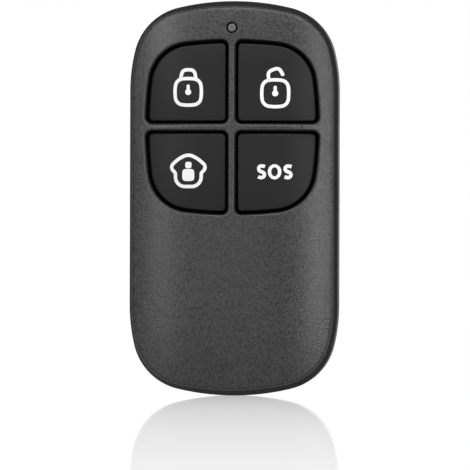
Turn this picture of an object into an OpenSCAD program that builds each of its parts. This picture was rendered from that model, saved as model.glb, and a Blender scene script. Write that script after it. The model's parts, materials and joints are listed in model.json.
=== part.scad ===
// Alarm key fob: a two-shell hand transmitter with four press keys in a cross frame,
// an indicator light, a coin cell under a turning door and a strap bar on the back.
// Each piece is drawn lying on its back, and stood on its lower end by the module upright.

/* [Case] */
// width across the sides
body_w = 31; // [30.6:0.1:33]
// length from end to end
body_l = 58.6; // [58:0.2:62]
// thickness at the crown
body_t = 11; // [10.9:0.1:12]
// radius of the shallow arc at each end
end_r = 36; // [34:0.5:40]
// radius of the four corners
corner_r = 8.7; // [8:0.1:9.4]
// radius of the arc that leads from a straight side into a corner
blend_r = 25.5; // [24:0.5:30]
// distance from an end at which the side starts to curve in
blend_len = 13.4; // [13:0.1:14.4]
// height of the joint line above the back
seam_z = 6; // [5.8:0.1:6.2]
// thickness of the side walls
wall = 1.2; // [1:0.1:1.3]
// slope of the front cover's side wall, in degrees
draft = 12.5; // [8:0.5:14]
// drop of the face from the crown to the sides
side_drop = 2.6; // [2.2:0.1:2.7]
// drop of the face from the crown to the ends
end_drop = 0.9; // [0.5:0.1:1.2]
// width of the rounded edge of the back
roll = 2; // [1.6:0.1:2.2]

/* [Keys] */
// width of the group of four windows
set_w = 25.7; // [25:0.1:25.8]
// length of the group of four windows
set_l = 25.8; // [25:0.1:26]
// distance of the group's centre from the upper end
set_from_end = 18.8; // [18.5:0.1:19.3]
// width of the cross between the windows
web_w = 1.18; // [1.1:0.02:1.6]
// gap between a key and the cross
key_gap = 0.34; // [0.3:0.02:0.46]
// gap between a key and the outer edge of its window
key_side_gap = 0.44; // [0.4:0.02:0.6]
// depth of the keys below the face
key_sink = 0.25; // [0.1:0.05:0.4]
// press travel of a key
key_travel = 0.3; // [0.2:0.02:0.32]

/* [Light] */
// diameter of the hole in the face
led_hole_d = 1.68; // [1.6:0.02:2]
// diameter of the light pipe
pipe_d = 1.2; // [1.1:0.02:1.4]
// distance of the light from the upper end
led_from_end = 4.05; // [3.8:0.05:4.3]

/* [Battery] */
// diameter of the coin cell
cell_d = 20; // [20]
// thickness of the coin cell
cell_h = 2.5; // [2.5]
// distance of the cell's centre from the lower end
cell_from_end = 18.3; // [17.9:0.1:18.5]
// angle through which the door turns to open
door_turn = 45; // [40:1:50]

/* [Strap bar] */
// diameter of the strap bar
bar_d = 1.6; // [1.4:0.1:1.8]
// clear width of the strap pocket
pocket_w = 8; // [7:0.5:9]

/* [Hidden] */
half_w = body_w / 2;
half_l = body_l / 2;
arc_fn = 64;
cut = 1;

// face shape
side_pow = 2.6;
end_pow = 6;
face_wall = 1.2;
edge_break = 0.25;
// steps inward from the rim of the face to its middle
face_steps = [0.97, 0.92, 0.86, 0.78, 0.66, 0.5, 0.3];
lid_steps = [0.94, 0.86, 0.7, 0.45];
meet_steps = 6;

// back
back_wall = 1.25;
roll_steps = 5;

// key group: shallow end and side arcs with rounded corners
set_y = half_l - set_from_end;
set_half_w = set_w / 2;
set_half_l = set_l / 2;
set_end_r = 57.7;
set_side_r = 53.7;
set_corner_r = 6.3;
window_round = 0.9;
key_round = 0.6;
key_base_z = 7.35;
flange_t = 0.55;
flange_over = 0.5;
flange_web = 0.27;
key_wall = 1.2;
key_roof_z = 8.6;
key_mid = (set_half_w + web_w / 2) / 2;
rib_base_z = 8.15;
rib_over = 0.5;

// circuit board
board_t = 1;
board_z = 5.1;
board_top = board_z + board_t;
board_gap = 0.55;

// switches
switch_w = 3.6;
switch_h = 0.6;
plate_w = 3.2;
plate_t = 0.1;
dome_r = 1.1;
dome_t = 0.06;
dome_crown_r = 0.5;
dome_well_r = 1.25;
dome_floor = 0.15;
stem_d = 1.8;
stem_clear = 0.05;
stem_top = 7.1;
stem_lift = 0.02;
stem_base = board_top + switch_h + stem_lift;
dome_clear = 0.04;
dome_rise = stem_base - key_travel - dome_clear - board_top - dome_floor;

// light
led_y = half_l - led_from_end;
led_size = [1.6, 0.8, 0.5];
pipe_clear = 0.02;
pipe_base_z = 7;
pipe_flange_d = 2;
pipe_flange_t = 0.5;
pipe_boss_d = 3.6;
pipe_boss_z = 8.4;
pipe_boss_top = 9.5;
pipe_sink = 0.06;

// case screws
screw_upper_x = 8.2;
screw_lower_x = 8.6;
screw_upper_in = 4.4;
screw_lower_in = 6.3;
screw_upper = [screw_upper_x, half_l - screw_upper_in];
screw_lower = [screw_lower_x, half_l - screw_lower_in];
screw_d = 1.4;
screw_clear = 0.1;
screw_head_d = 2.6;
screw_head_t = 0.9;
screw_recess = 0.35;
screw_tip_z = 7.9;
drive_w = 0.35;
drive_l = 1.6;
drive_deep = 0.5;
post_d = 2.6;
post_top = 9.3;
boss_d = 4.2;
head_clear = 0.15;

// coin cell and its contacts
cell_y = cell_from_end - half_l;
cell_r = cell_d / 2;
cell_z = 2;
can_t = 0.25;
can_lip = 0.25;
gasket_t = 1;
cell_play = 0.05;
cap_r = cell_r - can_t - gasket_t - 2 * cell_play;
cell_top = cell_z + cell_h;
strip_t = 0.15;
strip_w = 3;
strip_under = board_z - strip_t;
side_foot_l = 2.6;
finger_foot_l = 3.5;
finger_reach = 4;
finger_tip_l = 1;
finger_tip_rise = 0.2;

// battery door
door_over = 1.9;
door_r = cell_r + door_over;
door_clear = 0.1;
door_flange_t = 0.7;
ledge_z = 0.8;
hub_over = 0.15;
hub_r = cell_r + hub_over;
hub_top = 1.8;
opening_r = hub_r + hub_over;
tab_over = 1.1;
tab_r = cell_r + tab_over;
tab_z = back_wall + door_clear;
tab_angle = 26;
notch_clear = 0.15;
notch_r = tab_r + notch_clear;
notch_angle = 32;
tab_count = 3;
tab_first = 90;
collar_clear = 0.2;
collar_r = tab_r + collar_clear;
collar_t = 0.9;
collar_top = 4.4;
seal_edge = 0.2;
seal_w = 0.35;
seal_out = door_r - seal_edge;
seal_in = seal_out - seal_w;
seal_deep = 0.3;
seal_proud = 0.05;
coin_l = 13;
coin_w = 1.9;
coin_deep = 0.4;

// strap pocket
pocket_in = 6.3;
pocket_y = half_l - pocket_in;
pocket_l = 4.6;
pocket_deep = 3.9;
pocket_wall = 1;
bar_y = pocket_y + pocket_l / 2;
bar_z = 1.7;
bar_hold = 0.8;
bar_clear = 0.02;
bar_l = pocket_w + 2 * bar_hold;

function dir(a) = [cos(a), sin(a)];
function angle_of(v) = atan2(v.y, v.x);

// outer crossing of two circles
function outer_cross(a, ra, b, rb) =
    let(d = norm(b - a), e = (b - a) / d, k = (ra * ra - rb * rb + d * d) / (2 * d))
    a + k * e + sqrt(ra * ra - k * k) * [-e.y, e.x];

// case outline: straight side, blend arc, corner arc, end arc
blend_c = [half_w - blend_r, half_l - blend_len];
end_c = [0, half_l - end_r];
corner_c = outer_cross(blend_c, blend_r - corner_r, end_c, end_r - corner_r);
turn_a = angle_of(corner_c - blend_c);
turn_b = angle_of(corner_c - end_c);
blend_n = 4;
corner_n = 14;
end_n = 5;

// one quarter of the outline as [point, outward direction]
function on_arc(c, r, a) = [c + r * dir(a), dir(a)];
quarter = concat(
    [for (i = [0:blend_n - 1]) on_arc(blend_c, blend_r, turn_a * i / blend_n)],
    [for (i = [0:corner_n - 1]) on_arc(corner_c, corner_r, turn_a + (turn_b - turn_a) * i / corner_n)],
    [for (i = [0:end_n - 1]) on_arc(end_c, end_r, turn_b + (90 - turn_b) * i / end_n)]
);
quarter_back = [for (i = [len(quarter) - 1:-1:0]) quarter[i]];
function flip(q, s) = [[q[0].x * s.x, q[0].y * s.y], [q[1].x * s.x, q[1].y * s.y]];
rim = concat(
    quarter,
    [[[0, half_l], [0, 1]]],
    [for (q = quarter_back) flip(q, [-1, 1])],
    [for (q = quarter) flip(q, [-1, -1])],
    [[[0, -half_l], [0, -1]]],
    [for (q = quarter_back) flip(q, [1, -1])]
);

// outline moved in by d, flat or at a height
function inset(d) = [for (q = rim) q[0] - d * q[1]];
function at_z(ring, z) = [for (p = ring) [p.x, p.y, z]];

// height of the face, and the outline's inset where the sloping wall meets it
function face_z(p) =
    body_t - side_drop * pow(abs(p.x) / half_w, side_pow) - end_drop * pow(abs(p.y) / half_l, end_pow);
function meet(q, d, n) = n == 0 ? d : meet(q, (face_z(q[0] - d * q[1]) - seam_z) * tan(draft), n - 1);
edge_in = [for (q = rim) meet(q, 0, meet_steps)];
function edge_ring(more) = [for (i = [0:len(rim) - 1]) rim[i][0] - (edge_in[i] + more) * rim[i][1]];
function on_face(ring, drop) = [for (p = ring) [p.x, p.y, face_z(p) - drop]];

// solid through a stack of rings, closed flat below and by a fan to the tip above
module loft(rings, tip) {
    n = len(rings[0]);
    m = len(rings);
    polyhedron(
        concat([for (r = rings) each r], [tip]),
        concat(
            [[for (i = [0:n - 1]) i]],
            [for (k = [0:m - 2], i = [0:n - 1]) [k * n + i, (k + 1) * n + i, (k + 1) * n + (i + 1) % n]],
            [for (k = [0:m - 2], i = [0:n - 1]) [k * n + i, (k + 1) * n + (i + 1) % n, k * n + (i + 1) % n]],
            [for (i = [0:n - 1]) [(m - 1) * n + (i + 1) % n, (m - 1) * n + i, m * n]]
        )
    );
}

module upright() {
    rotate([90, 0, 0]) translate([0, half_l, -body_t / 2]) children();
}

module in_four() {
    for (sx = [0, 1], sy = [0, 1]) {
        mirror([sx, 0, 0]) mirror([0, sy, 0]) children();
    }
}

module at_screws() {
    for (sx = [-1, 1]) {
        translate([sx * screw_upper.x, screw_upper.y, 0]) children();
        translate([sx * screw_lower.x, -screw_lower.y, 0]) children();
    }
}

module at_switches() {
    for (sx = [-1, 1], sy = [-1, 1]) {
        translate([sx * key_mid, set_y + sy * key_mid, board_top]) children();
    }
}

module tube(r, z0, z1) {
    translate([0, 0, z0]) cylinder(r = r, h = z1 - z0, $fn = arc_fn);
}

module block(size, z0, z1) {
    translate([-size.x / 2, -size.y / 2, z0]) cube([size.x, size.y, z1 - z0]);
}

module sector(r, a, width) {
    polygon([[0, 0], 2 * r * dir(a - width / 2), 2 * r * dir(a), 2 * r * dir(a + width / 2)]);
}

// outline of the key group, moved out by d
set_side_c = [set_half_w - set_side_r, 0];
set_end_c = [0, set_half_l - set_end_r];
set_corner_c = outer_cross(
    set_side_c, set_side_r - set_corner_r, set_end_c, set_end_r - set_corner_r);

module set_outline(d) {
    far = 2 * set_corner_r;
    difference() {
        intersection_for (s = [-1, 1]) {
            intersection() {
                translate(s * set_end_c) circle(set_end_r + d, $fn = arc_fn);
                translate(s * set_side_c) circle(set_side_r + d, $fn = arc_fn);
            }
        }
        in_four() {
            difference() {
                polygon([
                    set_corner_c,
                    set_corner_c + far * dir(angle_of(set_corner_c - set_side_c)),
                    set_corner_c + far * [1, 1],
                    set_corner_c + far * dir(angle_of(set_corner_c - set_end_c))
                ]);
                translate(set_corner_c) circle(set_corner_r + d, $fn = arc_fn);
            }
        }
    }
}

// what is cut away to round the corner between a web line and the arc that it meets
module web_corner(web, arc_y, arc_r, r) {
    c = [web + r, arc_y + sqrt(pow(arc_r - r, 2) - pow(web + r, 2))];
    out = 3 * r;
    difference() {
        polygon([c, c - [out, 0], c + out * [-1, 1], c + out * dir(angle_of(c - [0, arc_y]))]);
        translate(c) circle(r, $fn = arc_fn);
    }
}

// one key's outline: a quarter of the group, clear of the cross by web, corners rounded by r
module key_outline(d, web, r) {
    difference() {
        intersection() {
            set_outline(d);
            translate([web, web]) square(set_l);
        }
        difference() {
            translate([web - cut, web - cut]) square(r + cut);
            translate([web + r, web + r]) circle(r, $fn = arc_fn);
        }
        web_corner(web, set_end_c.y, set_end_r + d, r);
        mirror([1, -1, 0]) web_corner(web, set_side_c.x, set_side_r + d, r);
    }
}

module face_body(drop, base_z) {
    shell = edge_ring(edge_break);
    loft(
        concat(
            [at_z(shell, base_z), on_face(shell, drop)],
            [for (k = lid_steps) on_face(k * shell, drop)]
        ),
        [0, 0, body_t - drop]
    );
}

module front_outer() {
    shell = edge_ring(edge_break);
    loft(
        concat(
            [
                at_z(inset(0), seam_z),
                on_face(edge_ring(-edge_break * tan(draft)), edge_break),
                on_face(edge_ring(edge_break / 4), edge_break / 4),
                on_face(shell, 0)
            ],
            [for (k = face_steps) on_face(k * shell, 0)]
        ),
        [0, 0, body_t]
    );
}

module front_inner() {
    shell = edge_ring(wall + edge_break);
    loft(
        concat(
            [at_z(inset(wall), seam_z - cut), at_z(inset(wall), seam_z + cut), on_face(shell, face_wall)],
            [for (k = lid_steps) on_face(k * shell, face_wall)]
        ),
        [0, 0, body_t - face_wall]
    );
}

module front_cover() {
    color([0.27, 0.27, 0.27]) upright() difference() {
        union() {
            difference() {
                front_outer();
                front_inner();
            }
            translate([0, set_y, 0]) {
                block([web_w, set_l + 2 * rib_over], rib_base_z, post_top);
                block([set_w, web_w], rib_base_z, face_z([set_half_w, 0]) - edge_break);
            }
            at_screws() tube(post_d / 2, board_top, post_top);
            translate([0, led_y, 0]) tube(pipe_boss_d / 2, pipe_boss_z, pipe_boss_top);
        }
        translate([0, set_y, seam_z]) linear_extrude(body_t) in_four() {
            key_outline(0, web_w / 2, window_round);
        }
        at_screws() tube(screw_d / 2 + screw_clear, seam_z, screw_tip_z + screw_clear);
        translate([0, led_y, 0]) {
            tube(pipe_d / 2 + pipe_clear, pipe_boss_z - cut, body_t);
            tube(led_hole_d / 2, pipe_boss_top, body_t + cut);
        }
    }
}

module rear_outer() {
    loft(
        concat(
            [for (i = [0:roll_steps]) let(a = 90 * i / roll_steps)
                at_z(inset(roll * (1 - sin(a))), roll * (1 - cos(a)))],
            [at_z(inset(0), seam_z)]
        ),
        [0, 0, seam_z]
    );
}

module rear_inner() {
    loft(
        [
            at_z(inset(roll), back_wall),
            at_z(inset(wall), back_wall + roll / 2),
            at_z(inset(wall), seam_z + cut)
        ],
        [0, 0, seam_z + cut]
    );
}

module rear_cover() {
    pocket_mid = [0, pocket_y + pocket_l / 2, 0];
    color([0.09, 0.09, 0.09]) upright() difference() {
        union() {
            difference() {
                rear_outer();
                rear_inner();
            }
            translate([0, cell_y, 0]) difference() {
                tube(collar_r + collar_t, ledge_z, collar_top);
                tube(collar_r, back_wall, collar_top + cut);
            }
            at_screws() tube(boss_d / 2, back_wall / 2, board_z);
            intersection() {
                rear_outer();
                translate(pocket_mid) {
                    block([pocket_w + 2 * pocket_wall, pocket_l + 2 * pocket_wall],
                        back_wall / 2, pocket_deep + pocket_wall);
                }
            }
        }
        translate(pocket_mid) block([pocket_w, pocket_l], -cut, pocket_deep);
        translate([0, bar_y, bar_z]) rotate([0, 90, 0]) {
            cylinder(r = bar_d / 2 + bar_clear, h = bar_l + 2 * bar_clear, center = true, $fn = arc_fn);
        }
        at_screws() {
            tube(screw_d / 2 + 2 * screw_clear, -cut, board_z + cut);
            tube(screw_head_d / 2 + head_clear, -cut, screw_recess + screw_head_t);
        }
        translate([0, cell_y, 0]) {
            tube(door_r + door_clear, -cut, ledge_z);
            tube(opening_r, 0, back_wall + cut);
            translate([0, 0, ledge_z - cut]) linear_extrude(back_wall - ledge_z + 2 * cut) {
                intersection() {
                    circle(notch_r, $fn = arc_fn);
                    for (i = [0:tab_count - 1]) {
                        sector(notch_r, tab_first - door_turn + i * 360 / tab_count, notch_angle);
                    }
                }
            }
        }
    }
}

// a key in the quarter that the signs name
module key_cap(sx, sy) {
    near = web_w / 2 + key_gap;
    mirror([sx < 0 ? 1 : 0, 0, 0]) translate([0, set_y, 0]) mirror([0, sy < 0 ? 1 : 0, 0]) {
        difference() {
            union() {
                intersection() {
                    translate([0, 0, key_base_z]) linear_extrude(body_t) {
                        key_outline(-key_side_gap, near, key_round);
                    }
                    mirror([0, sy < 0 ? 1 : 0, 0]) translate([0, -set_y, 0]) face_body(key_sink, seam_z);
                }
                translate([0, 0, key_base_z]) linear_extrude(flange_t) {
                    key_outline(flange_over, web_w / 2 - flange_web, key_round);
                }
            }
            translate([0, 0, key_base_z - cut]) linear_extrude(key_roof_z - key_base_z + cut) {
                key_outline(-key_side_gap - key_wall, near + key_wall, key_round);
            }
        }
        translate([key_mid, key_mid, 0]) tube(stem_d / 2, stem_top, key_roof_z + edge_break);
    }
}

module lock_button() {
    color([0.17, 0.17, 0.17]) upright() key_cap(-1, 1);
}

module unlock_button() {
    color([0.17, 0.17, 0.17]) upright() key_cap(1, 1);
}

module home_button() {
    color([0.17, 0.17, 0.17]) upright() key_cap(-1, -1);
}

module sos_button() {
    color([0.17, 0.17, 0.17]) upright() key_cap(1, -1);
}

module light_pipe() {
    color([0.6, 0.6, 0.6]) upright() translate([0, led_y, 0]) {
        tube(pipe_d / 2, pipe_base_z, face_z([0, led_y]) - pipe_sink);
        tube(pipe_flange_d / 2, pipe_boss_z - pipe_flange_t, pipe_boss_z);
    }
}

module circuit_board() {
    color([0.05, 0.3, 0.16]) upright() difference() {
        translate([0, 0, board_z]) linear_extrude(board_t) polygon(inset(wall + board_gap));
        at_screws() tube(screw_d / 2 + 2 * screw_clear, board_z - cut, board_top + cut);
    }
}

module indicator_led() {
    color([0.9, 0.9, 0.75]) upright() translate([0, led_y, board_top]) block(led_size, 0, led_size.z);
}

module switch_housings() {
    color([0.2, 0.2, 0.2]) upright() at_switches() difference() {
        block([switch_w, switch_w], 0, switch_h);
        tube(dome_well_r, dome_floor, switch_h + cut);
    }
}

module switch_plates() {
    color([0.75, 0.75, 0.75]) upright() at_switches() difference() {
        block([plate_w, plate_w], switch_h, switch_h + plate_t);
        tube(stem_d / 2 + stem_clear, switch_h - cut, switch_h + plate_t + cut);
    }
}

// shallow dished discs whose rim stands on the floor of the housing
module snap_domes() {
    color([0.8, 0.72, 0.5]) upright() at_switches() translate([0, 0, dome_floor]) {
        rotate_extrude($fn = arc_fn) polygon([
            [0, dome_rise - dome_t],
            [dome_crown_r, dome_rise - dome_t],
            [dome_r, 0],
            [dome_r, dome_t],
            [dome_crown_r, dome_rise],
            [0, dome_rise]
        ]);
    }
}

module stem(sx, sy) {
    translate([sx * key_mid, set_y + sy * key_mid, 0]) tube(stem_d / 2, stem_base, stem_top);
}

module lock_stem() {
    color([0.85, 0.85, 0.8]) upright() stem(-1, 1);
}

module unlock_stem() {
    color([0.85, 0.85, 0.8]) upright() stem(1, 1);
}

module home_stem() {
    color([0.85, 0.85, 0.8]) upright() stem(-1, -1);
}

module sos_stem() {
    color([0.85, 0.85, 0.8]) upright() stem(1, -1);
}

// chips on the bare lower half of the board
chip_below = 5.3;
chip_y = set_y - set_half_l - chip_below;
chip_size = [5, 4, 1.4];
chip_x = -6;
radio_size = [4, 4, 0.9];
radio_x = 5.5;
leg_size = [0.4, 0.9, 0.2];
leg_pitch = 1.27;
leg_count = 4;

module controller_chip() {
    color([0.12, 0.12, 0.12]) upright() translate([chip_x, chip_y, board_top]) {
        block(chip_size, leg_size.z, chip_size.z);
        for (i = [0:leg_count - 1], s = [-1, 1]) {
            leg_x = (i - (leg_count - 1) / 2) * leg_pitch;
            translate([leg_x, s * (chip_size.y + leg_size.y) / 2 - s * leg_size.z, 0]) {
                block(leg_size, 0, 2 * leg_size.z);
            }
        }
    }
}

module radio_chip() {
    color([0.14, 0.14, 0.15]) upright() translate([radio_x, chip_y, board_top]) {
        block(radio_size, 0, radio_size.z);
    }
}

// oval metal can
can_l = 4.4;
can_w = 2;
can_h = 1.3;
can_below = 5.5;
can_y = chip_y - can_below;

module resonator() {
    color([0.78, 0.78, 0.78]) upright() translate([0, can_y, board_top]) {
        block([can_l - can_w, can_w], 0, can_h);
        for (s = [-1, 1]) {
            translate([s * (can_l - can_w) / 2, 0, 0]) tube(can_w / 2, 0, can_h);
        }
    }
}

passive_size = [1.6, 0.8, 0.6];
passive_gap = 1.6;
cap_x = -0.6;
cap_above = 2.5;
res_below = 4.3;
cap_row = [cap_x, chip_y + cap_above];
res_row = [radio_x, chip_y - res_below];
cap_count = 3;
res_count = 2;

module capacitors() {
    color([0.62, 0.5, 0.36]) upright() for (i = [0:cap_count - 1]) {
        translate([cap_row.x, cap_row.y - i * passive_gap, board_top]) block(passive_size, 0, passive_size.z);
    }
}

module resistors() {
    color([0.1, 0.1, 0.12]) upright() for (i = [0:res_count - 1]) {
        translate([res_row.x, res_row.y - i * passive_gap, board_top]) block(passive_size, 0, passive_size.z);
    }
}

// wire bent to a half circle on two legs
aerial_r = 6.8;
aerial_wire_r = 0.4;
aerial_in = 11.3;
aerial_y = aerial_in - half_l;
aerial_z = 1.3;

module aerial() {
    color([0.72, 0.45, 0.2]) upright() translate([0, aerial_y, board_top]) {
        translate([0, 0, aerial_z]) rotate([0, 0, 180]) rotate_extrude(angle = 180, $fn = arc_fn) {
            translate([aerial_r, 0]) circle(aerial_wire_r, $fn = arc_fn);
        }
        for (s = [-1, 1]) {
            translate([s * aerial_r, 0, 0]) {
                tube(aerial_wire_r, 0, aerial_z);
                translate([0, 0, aerial_z]) sphere(aerial_wire_r, $fn = arc_fn);
            }
        }
    }
}

module cell_can() {
    color([0.8, 0.8, 0.8]) upright() translate([0, cell_y, 0]) difference() {
        tube(cell_r, cell_z, cell_top - can_lip);
        tube(cell_r - can_t, cell_z + can_t, cell_top);
    }
}

module cell_gasket() {
    color([0.15, 0.15, 0.15]) upright() translate([0, cell_y, 0]) difference() {
        tube(cell_r - can_t - cell_play, cell_z + can_t, cell_top - can_lip);
        tube(cap_r + cell_play, cell_z, cell_top);
    }
}

module cell_cap() {
    color([0.74, 0.74, 0.74]) upright() translate([0, cell_y, 0]) {
        tube(cap_r, cell_z + can_t + cell_play, cell_top);
    }
}

// strip that stands against the side of the cell
module positive_contact() {
    side_y = cell_y + cell_r + cell_play;
    color([0.82, 0.78, 0.62]) upright() {
        translate([0, side_y + strip_t / 2, 0]) block([strip_w, strip_t], cell_z + can_t, board_z);
        translate([0, side_y + side_foot_l / 2, 0]) block([strip_w, side_foot_l], strip_under, board_z);
    }
}

// finger that reaches down to the middle of the cell
module negative_contact() {
    drop = strip_under - cell_top - cell_play;
    bend = finger_foot_l + finger_reach;
    tip = bend + finger_tip_l;
    color([0.82, 0.78, 0.62]) upright() translate([-strip_w / 2, cell_y - bend, strip_under]) {
        rotate([90, 0, 90]) linear_extrude(strip_w) polygon([
            [0, 0],
            [finger_foot_l, 0],
            [bend, -drop],
            [tip, finger_tip_rise - drop],
            [tip, finger_tip_rise - drop + strip_t],
            [bend, strip_t - drop],
            [finger_foot_l, strip_t],
            [0, strip_t]
        ]);
    }
}

module battery_door() {
    color([0.1, 0.1, 0.1]) upright() translate([0, cell_y, 0]) difference() {
        union() {
            tube(door_r, 0, door_flange_t);
            tube(hub_r, 0, hub_top);
            translate([0, 0, tab_z]) linear_extrude(hub_top - tab_z) intersection() {
                circle(tab_r, $fn = arc_fn);
                for (i = [0:tab_count - 1]) {
                    sector(tab_r, tab_first + i * 360 / tab_count, tab_angle);
                }
            }
        }
        block([coin_l, coin_w], -cut, coin_deep);
        difference() {
            tube(seal_out, door_flange_t - seal_deep, door_flange_t + cut);
            tube(seal_in, 0, hub_top);
        }
    }
}

module door_seal() {
    color([0.2, 0.2, 0.2]) upright() translate([0, cell_y, 0]) difference() {
        tube(seal_out, door_flange_t - seal_deep, door_flange_t + seal_proud);
        tube(seal_in, 0, hub_top);
    }
}

module case_screws() {
    head_top = screw_recess + screw_head_t;
    color([0.55, 0.55, 0.57]) upright() at_screws() difference() {
        union() {
            tube(screw_head_d / 2, screw_recess, head_top);
            tube(screw_d / 2, screw_recess, screw_tip_z);
        }
        block([drive_l, drive_w], 0, screw_recess + drive_deep);
        block([drive_w, drive_l], 0, screw_recess + drive_deep);
    }
}

module strap_bar() {
    color([0.7, 0.7, 0.72]) upright() translate([0, bar_y, bar_z]) rotate([0, 90, 0]) {
        cylinder(r = bar_d / 2, h = bar_l, center = true, $fn = arc_fn);
    }
}

front_cover();
rear_cover();
lock_button();
unlock_button();
home_button();
sos_button();
light_pipe();
circuit_board();
indicator_led();
switch_housings();
switch_plates();
snap_domes();
lock_stem();
unlock_stem();
home_stem();
sos_stem();
controller_chip();
radio_chip();
resonator();
capacitors();
resistors();
aerial();
cell_can();
cell_cap();
cell_gasket();
positive_contact();
negative_contact();
battery_door();
door_seal();
case_screws();
strap_bar();
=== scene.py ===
import bpy
import bmesh
import json
from math import atan2, cos, degrees, radians, sin, sqrt, tan
from mathutils import Matrix, Vector


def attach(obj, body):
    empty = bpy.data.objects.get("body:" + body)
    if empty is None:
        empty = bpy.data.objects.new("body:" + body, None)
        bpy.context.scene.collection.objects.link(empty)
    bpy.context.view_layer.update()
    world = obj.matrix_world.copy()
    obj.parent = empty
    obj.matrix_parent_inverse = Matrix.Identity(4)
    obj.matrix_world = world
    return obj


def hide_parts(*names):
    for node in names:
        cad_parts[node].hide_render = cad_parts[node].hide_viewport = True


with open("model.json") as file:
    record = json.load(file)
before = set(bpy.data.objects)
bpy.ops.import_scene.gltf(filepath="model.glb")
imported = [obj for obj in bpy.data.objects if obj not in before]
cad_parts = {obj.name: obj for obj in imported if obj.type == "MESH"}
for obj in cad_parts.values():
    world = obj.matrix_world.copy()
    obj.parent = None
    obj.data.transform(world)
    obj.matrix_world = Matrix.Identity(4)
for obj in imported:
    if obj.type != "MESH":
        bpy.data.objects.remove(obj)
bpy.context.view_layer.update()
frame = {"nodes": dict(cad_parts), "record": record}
scene = bpy.context.scene
print("frame loaded,", len(frame["nodes"]), "nodes")

# Every piece is drawn lying on its back in millimetres: x across, y along, z up from the back.
# standUp then sets it on its lower end, in metres, where the frame is.
case = {"width": 31, "length": 58.6, "thick": 11, "wall": 1.2, "seamZ": 6, "draft": 12.5,
        "endR": 36, "cornerR": 8.7, "blendR": 25.5, "blendRun": 13.4,
        "sideDrop": 2.6, "sidePower": 2.6, "endDrop": 0.9, "endPower": 6,
        "sideSteps": 8, "cornerSteps": 24, "endSteps": 10, "settle": 8}
halfW, halfL = case["width"] / 2, case["length"] / 2
slope = tan(radians(case["draft"]))
mm = 0.001
standUp = Matrix(((mm, 0, 0, 0),
                  (0, 0, -mm, mm * case["thick"] / 2),
                  (0, mm, 0, mm * halfL),
                  (0, 0, 0, 1)))
onFace, atHeight = 0, -100      # a ring's z counts from the crowned face, or with atHeight from the back
sliceGap, weldGap, levelGap = 1e-5, 1e-4, 1e-6


def faceZ(x, y):
    side = case["sideDrop"] * (abs(x) / halfW) ** case["sidePower"]
    end = case["endDrop"] * (abs(y) / halfL) ** case["endPower"]
    return case["thick"] - side - end


def angleOf(v):
    return degrees(atan2(v[1], v[0]))


def roundCentre(a, ra, b, rb):      # where circles ra about a and rb about b cross, on the outer side
    gap = (b - a).length
    along = (b - a) / gap
    k = (ra * ra - rb * rb + gap * gap) / (2 * gap)
    return a + k * along + sqrt(ra * ra - k * k) * Vector((-along.y, along.x))


def trace(bm, start, path, z):
    # a point swept along path, then closed
    # path holds arcs (centre, degrees, steps) and straight runs (vector, None, steps)
    line = bmesh.new()      # swept apart from the piece, which is quicker
    ends = [line.verts.new((start[0], start[1], z))]
    for where, turn, steps in path:
        if turn is None:
            step = (where[0] / steps, where[1] / steps, 0)
            made = bmesh.ops.spin(line, geom=ends, dvec=step, axis=(0, 0, 1), steps=steps)
        else:
            centre = (where[0], where[1], z)
            made = bmesh.ops.spin(line, geom=ends, cent=centre, axis=(0, 0, 1), angle=radians(turn),
                                  steps=steps)
        ends = [v for v in made["geom_last"] if isinstance(v, bmesh.types.BMVert)]
    ring = [bm.verts.new(v.co) for v in list(line.verts)[:-1]]
    line.free()
    for a, b in zip(ring, ring[1:] + ring[:1]):
        bm.edges.new((a, b))
    return ring


def ringEdges(bm, ring):
    return [bm.edges.get((a, b)) for a, b in zip(ring, ring[1:] + ring[:1])]


def skin(bm, rings, material=0):
    for a, b in zip(rings, rings[1:]):
        faces = bmesh.ops.bridge_loops(bm, edges=ringEdges(bm, a) + ringEdges(bm, b))["faces"]
        for f in faces:
            f.material_index = material


def lid(bm, rings, cell=None):
    # fills between rings, then slices the sheet into cells so that it can bend
    edges = [e for r in rings for e in ringEdges(bm, r)]
    made = bmesh.ops.triangle_fill(bm, edges=edges, use_beauty=True, use_dissolve=True, normal=(0, 0, 1))
    if cell:
        faces = [f for f in made["geom"] if isinstance(f, bmesh.types.BMFace)]
        geom = faces + list({e for f in faces for e in f.edges}) + list({v for f in faces for v in f.verts})
        for axis in range(2):
            low = min(v.co[axis] for r in rings for v in r)
            high = max(v.co[axis] for r in rings for v in r)
            cuts = round((high - low) / cell)
            for i in range(1, cuts):
                at, normal = Vector((0, 0, 0)), Vector((0, 0, 0))
                at[axis] = low + (high - low) * i / cuts
                normal[axis] = 1
                cut = bmesh.ops.bisect_plane(bm, geom=geom, dist=sliceGap, plane_co=at, plane_no=normal)
                geom = cut["geom"]


def lift(bm):       # bends the flat drawing over the crown
    for v in bm.verts:
        v.co.z = v.co.z - atHeight if v.co.z < atHeight / 2 else faceZ(v.co.x, v.co.y) + v.co.z


def finishPiece(bm, name, body, nodes, finishes, crease=38):
    bmesh.ops.remove_doubles(bm, verts=bm.verts, dist=weldGap)
    bmesh.ops.recalc_face_normals(bm, faces=bm.faces)
    bmesh.ops.transform(bm, matrix=standUp, verts=bm.verts)
    mesh = bpy.data.meshes.new(name)
    bm.to_mesh(mesh)
    bm.free()
    mesh.polygons.foreach_set("use_smooth", [True] * len(mesh.polygons))
    mesh.set_sharp_from_angle(angle=radians(crease))
    piece = bpy.data.objects.new(name, mesh)
    scene.collection.objects.link(piece)
    for finish in finishes:
        mesh.materials.append(finish)
    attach(piece, body)
    if nodes:
        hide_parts(*nodes)
    print("  ", name, len(mesh.polygons), "faces")


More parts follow.
